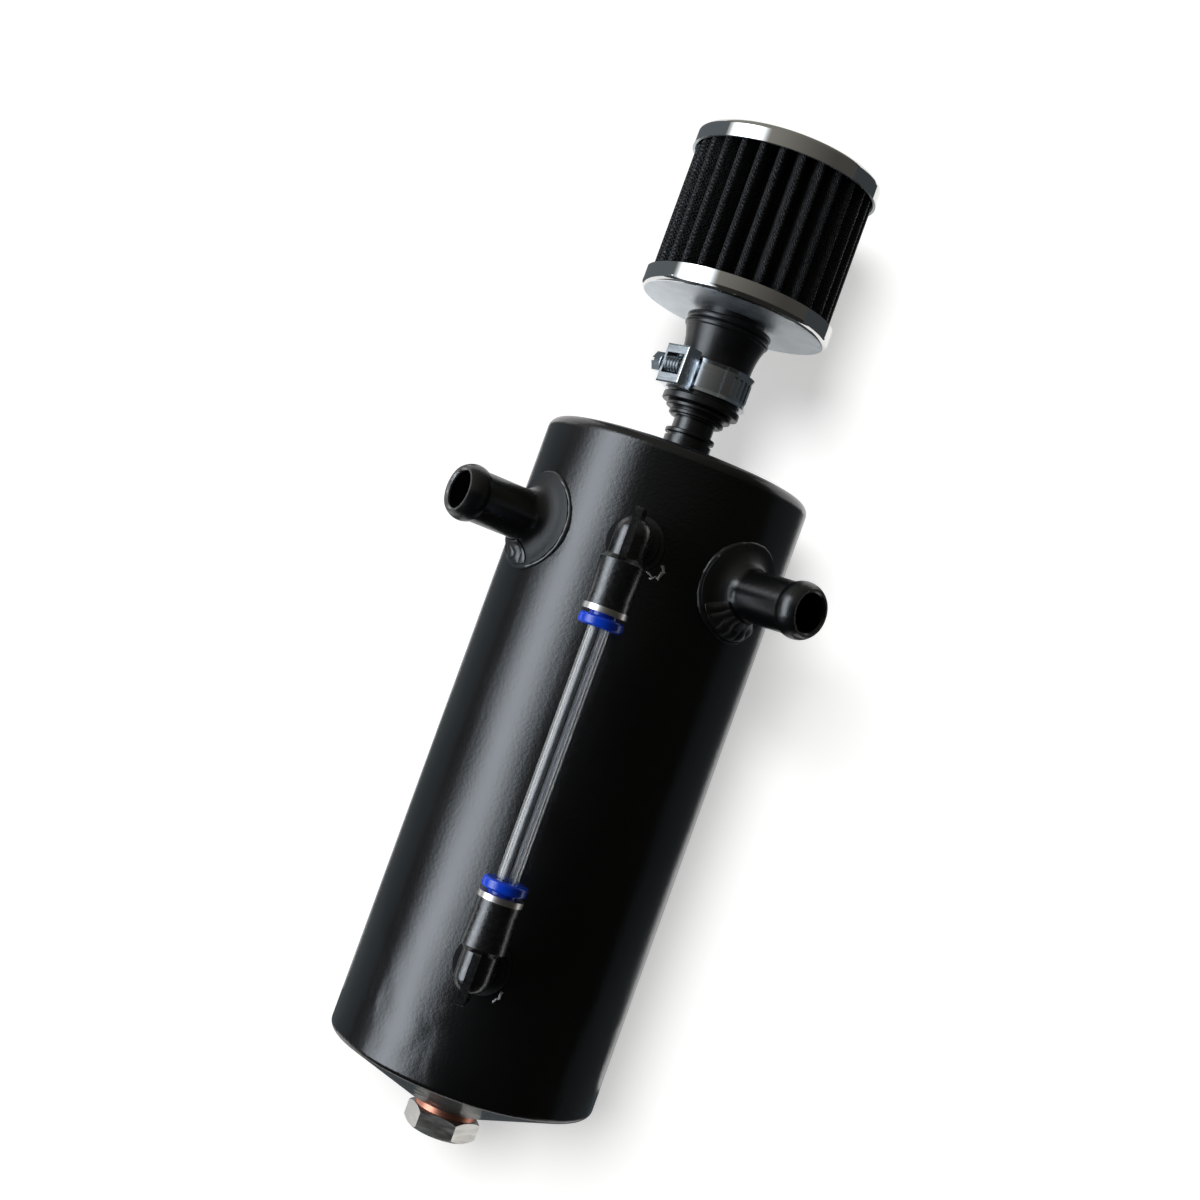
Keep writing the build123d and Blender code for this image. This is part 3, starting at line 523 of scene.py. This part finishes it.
sealant_crumbs("upper_sealant_crumbs", "upper_gauge_stud", UPPER_CRUMBS)
sealant_crumbs("lower_sealant_crumbs", "lower_gauge_stud", LOWER_CRUMBS)

# Stage, in metres: a white table behind the lying can, in a dim room
TABLE_SIZE = 0.64
TABLE_BEHIND = 0.0425
TABLE_MIDDLE = 0.125
TABLE_WHITE = (0.8, 0.8, 0.8, 1)
TABLE_GLOW = 0.51
ROOM_COLOUR = (1.0, 0.97, 0.87, 1)
WALL_LIGHT = (0.05, 0.02)
CEILING_LIGHT = (0.24, 0.05)
WHITE = (1, 1, 1, 1)


def white_table():
    """White table behind the lying can, clear when it is seen from behind."""
    bpy.ops.mesh.primitive_plane_add(size=TABLE_SIZE)
    table = bpy.context.object
    table.name = "white_table"
    for vertex in table.data.vertices:
        vertex.co = (vertex.co.x, TABLE_BEHIND, vertex.co.y + TABLE_MIDDLE)
    paper = bpy.data.materials.new("white_table")
    white = Tree(paper)
    matt = white.add("ShaderNodeBsdfDiffuse")
    matt.inputs["Color"].default_value = TABLE_WHITE
    rays = white.add("ShaderNodeLightPath").outputs
    seen = white.combine("MAXIMUM", rays["Is Camera Ray"], rays["Is Glossy Ray"])
    seen = white.combine("MAXIMUM", seen, rays["Is Transmission Ray"])
    glow = white.add("ShaderNodeEmission")
    white.join(white.combine("MULTIPLY", seen, TABLE_GLOW), glow.inputs["Strength"])
    both = white.add("ShaderNodeAddShader")
    white.join(matt.outputs["BSDF"], both.inputs[0])
    white.join(glow.outputs["Emission"], both.inputs[1])
    clear = white.add("ShaderNodeBsdfTransparent")
    behind = white.add("ShaderNodeNewGeometry").outputs["Backfacing"]
    shown = white.mix_shaders(behind, both.outputs["Shader"], clear.outputs["BSDF"])
    white.join(shown, white.add("ShaderNodeOutputMaterial").inputs["Surface"])
    table.data.materials.append(paper)
    return table


def dim_room():
    """Dim room, lighter on the window's side and above; white where the camera looks past the table."""
    scene.world = bpy.data.worlds.new("room")
    sky = Tree(scene.world)
    x, y, z = sky.axes(sky.add("ShaderNodeTexCoord").outputs["Generated"])
    walls = sky.remap(x, (-0.9, 0.1), WALL_LIGHT)
    upwards = sky.remap(z, (0.10, 0.26))
    ceiling = sky.combine("MULTIPLY", upwards, sky.remap(x, (-0.5, 0.8), CEILING_LIGHT))
    room = sky.add("ShaderNodeBackground")
    room.inputs["Color"].default_value = ROOM_COLOUR
    sky.join(sky.combine("ADD", walls, ceiling), room.inputs["Strength"])
    white = sky.add("ShaderNodeBackground")
    white.inputs["Color"].default_value = WHITE
    camera_ray = sky.add("ShaderNodeLightPath").outputs["Is Camera Ray"]
    shown = sky.mix_shaders(camera_ray, room.outputs["Background"], white.outputs["Background"])
    sky.join(shown, sky.add("ShaderNodeOutputWorld").inputs["Surface"])


# Dull cards, glowing sheets that paint dim shaded reflections on the can, in metres: two opposite corners,
# then how light the card looks
CARDS = {
    "left_card": ((-0.062, -0.020, -0.020), (-0.062, 0.042, 0.190), 0.185),
    "right_card": ((0.062, -0.020, -0.020), (0.062, 0.042, 0.190), 0.08),
    "left_filter_card": ((-0.050, -0.026, 0.222), (-0.050, 0.042, 0.300), 0.15),
    "right_filter_card": ((0.050, -0.020, 0.222), (0.050, 0.022, 0.300), 0.06),
    "neck_card": ((0.030, -0.010, 0.188), (0.030, 0.042, 0.224), 0.06),
    "bottom_card": ((-0.062, 0.0415, -0.095), (0.062, 0.0415, -0.004), 0.12),
}
CARD_COLOUR = (0.80, 0.92, 1.0, 1)


def painted_reflection_card(name, low, high, tone):
    """A dim glowing card that keeps the table's glare off the lying can and paints a shaded reflection there
    instead; only mirrored rays show it.
    """
    bpy.ops.mesh.primitive_plane_add(size=1)
    card = bpy.context.object
    card.name = name
    middle = (Vector(low) + Vector(high)) / 2
    wide = Vector((high[0] - low[0], high[1] - low[1], 0))
    tall = Vector((0, 0, high[2] - low[2]))
    for vertex in card.data.vertices:
        vertex.co = middle + wide * vertex.co.x + tall * vertex.co.y
    board = bpy.data.materials.new(name)
    dull = Tree(board)
    # Painted reflection: a faint glow, not a lamp, in place of the shaded table that the can would mirror
    shade = dull.add("ShaderNodeEmission")
    shade.inputs["Color"].default_value = CARD_COLOUR
    shade.inputs["Strength"].default_value = tone
    dull.join(shade.outputs["Emission"], dull.add("ShaderNodeOutputMaterial").inputs["Surface"])
    card.data.materials.append(board)
    card.visible_camera = False
    card.visible_diffuse = False
    card.visible_shadow = False
    card.visible_transmission = False
    card.select_set(False)


table = white_table()
dim_room()
for card_name, (low, high, tone) in CARDS.items():
    painted_reflection_card(card_name, low, high, tone)

# Camera, leaning with the picture; places in metres, lens and sensor in millimetres
CAMERA_PLACE = Vector((0.04907, -0.5044, 0.11938))
LOOK = Vector((-0.11313, 0.9929, 0.03664)).normalized()
LEAN = math.radians(20.0)
LENS = 52.0
SENSOR = 36
right = LOOK.cross(Vector((0, 0, 1))).normalized()
up = right.cross(LOOK)
across = right * math.cos(LEAN) + up * math.sin(LEAN)
upward = up * math.cos(LEAN) - right * math.sin(LEAN)
camera_data = bpy.data.cameras.new("camera")
camera_data.sensor_width = SENSOR
camera_data.lens = LENS
camera = bpy.data.objects.new("camera", camera_data)
turn = Matrix((across, upward, -LOOK)).transposed().to_4x4()
camera.matrix_world = Matrix.Translation(CAMERA_PLACE) @ turn
scene.collection.objects.link(camera)
scene.camera = camera

# Lamps: a window on the left for the can, in metres and watts, and a sun for the table alone
WINDOW_PLACE = Vector((-0.558, -0.406, 0.06))
WINDOW_TARGET = Vector((0, 0, 0.08))
WINDOW_WIDTH = 0.80
WINDOW_HEIGHT = 0.95
WINDOW_POWER = 13.6
WINDOW_COLOUR = (0.84, 0.915, 1.0)
WINDOW_FALL = 2.0
TABLE_LAMP_POWER = 2.0
TABLE_LAMP_SPREAD = math.radians(24)
SHADOW_RIGHT = 0.18
SHADOW_DOWN = 0.42


def aim(lamp, way):
    """Turns a lamp to shine one way."""
    lamp.rotation_mode = "QUATERNION"
    lamp.rotation_quaternion = way.to_track_quat("-Z", "Y")


def lit_pieces(name, table_state):
    """What a lamp lights: the table alone where that is included, all but the table where it is excluded."""
    lit = bpy.data.collections.new(name)
    lit.objects.link(table)
    lit.collection_objects[0].light_linking.link_state = table_state
    return lit


def window():
    """A soft window, brightest along its middle, that leaves the table to the table's own lamp."""
    data = bpy.data.lights.new("window", "AREA")
    data.shape = "RECTANGLE"
    data.size = WINDOW_WIDTH
    data.size_y = WINDOW_HEIGHT
    data.energy = WINDOW_POWER
    data.color = WINDOW_COLOUR
    pane = Tree(data, emptied=False)
    pane_across = pane.axes(pane.add("ShaderNodeNewGeometry").outputs["Parametric"])[0]
    swell = pane.combine("SINE", pane.combine("MULTIPLY", pane_across, math.pi))
    pane.join(pane.combine("POWER", swell, WINDOW_FALL), pane.tree.nodes["Emission"].inputs["Strength"])
    lamp = bpy.data.objects.new("window", data)
    scene.collection.objects.link(lamp)
    lamp.location = WINDOW_PLACE
    aim(lamp, WINDOW_TARGET - WINDOW_PLACE)
    lamp.light_linking.receiver_collection = lit_pieces("can_only", "EXCLUDE")


def table_lamp():
    """A lamp a little above and left of the camera, so that the can's shadow falls right and down."""
    data = bpy.data.lights.new("table_lamp", "SUN")
    data.energy = TABLE_LAMP_POWER
    data.angle = TABLE_LAMP_SPREAD
    lamp = bpy.data.objects.new("table_lamp", data)
    scene.collection.objects.link(lamp)
    aim(lamp, LOOK + SHADOW_RIGHT * across - SHADOW_DOWN * upward)
    lamp.light_linking.receiver_collection = lit_pieces("table_only", "INCLUDE")


window()
table_lamp()
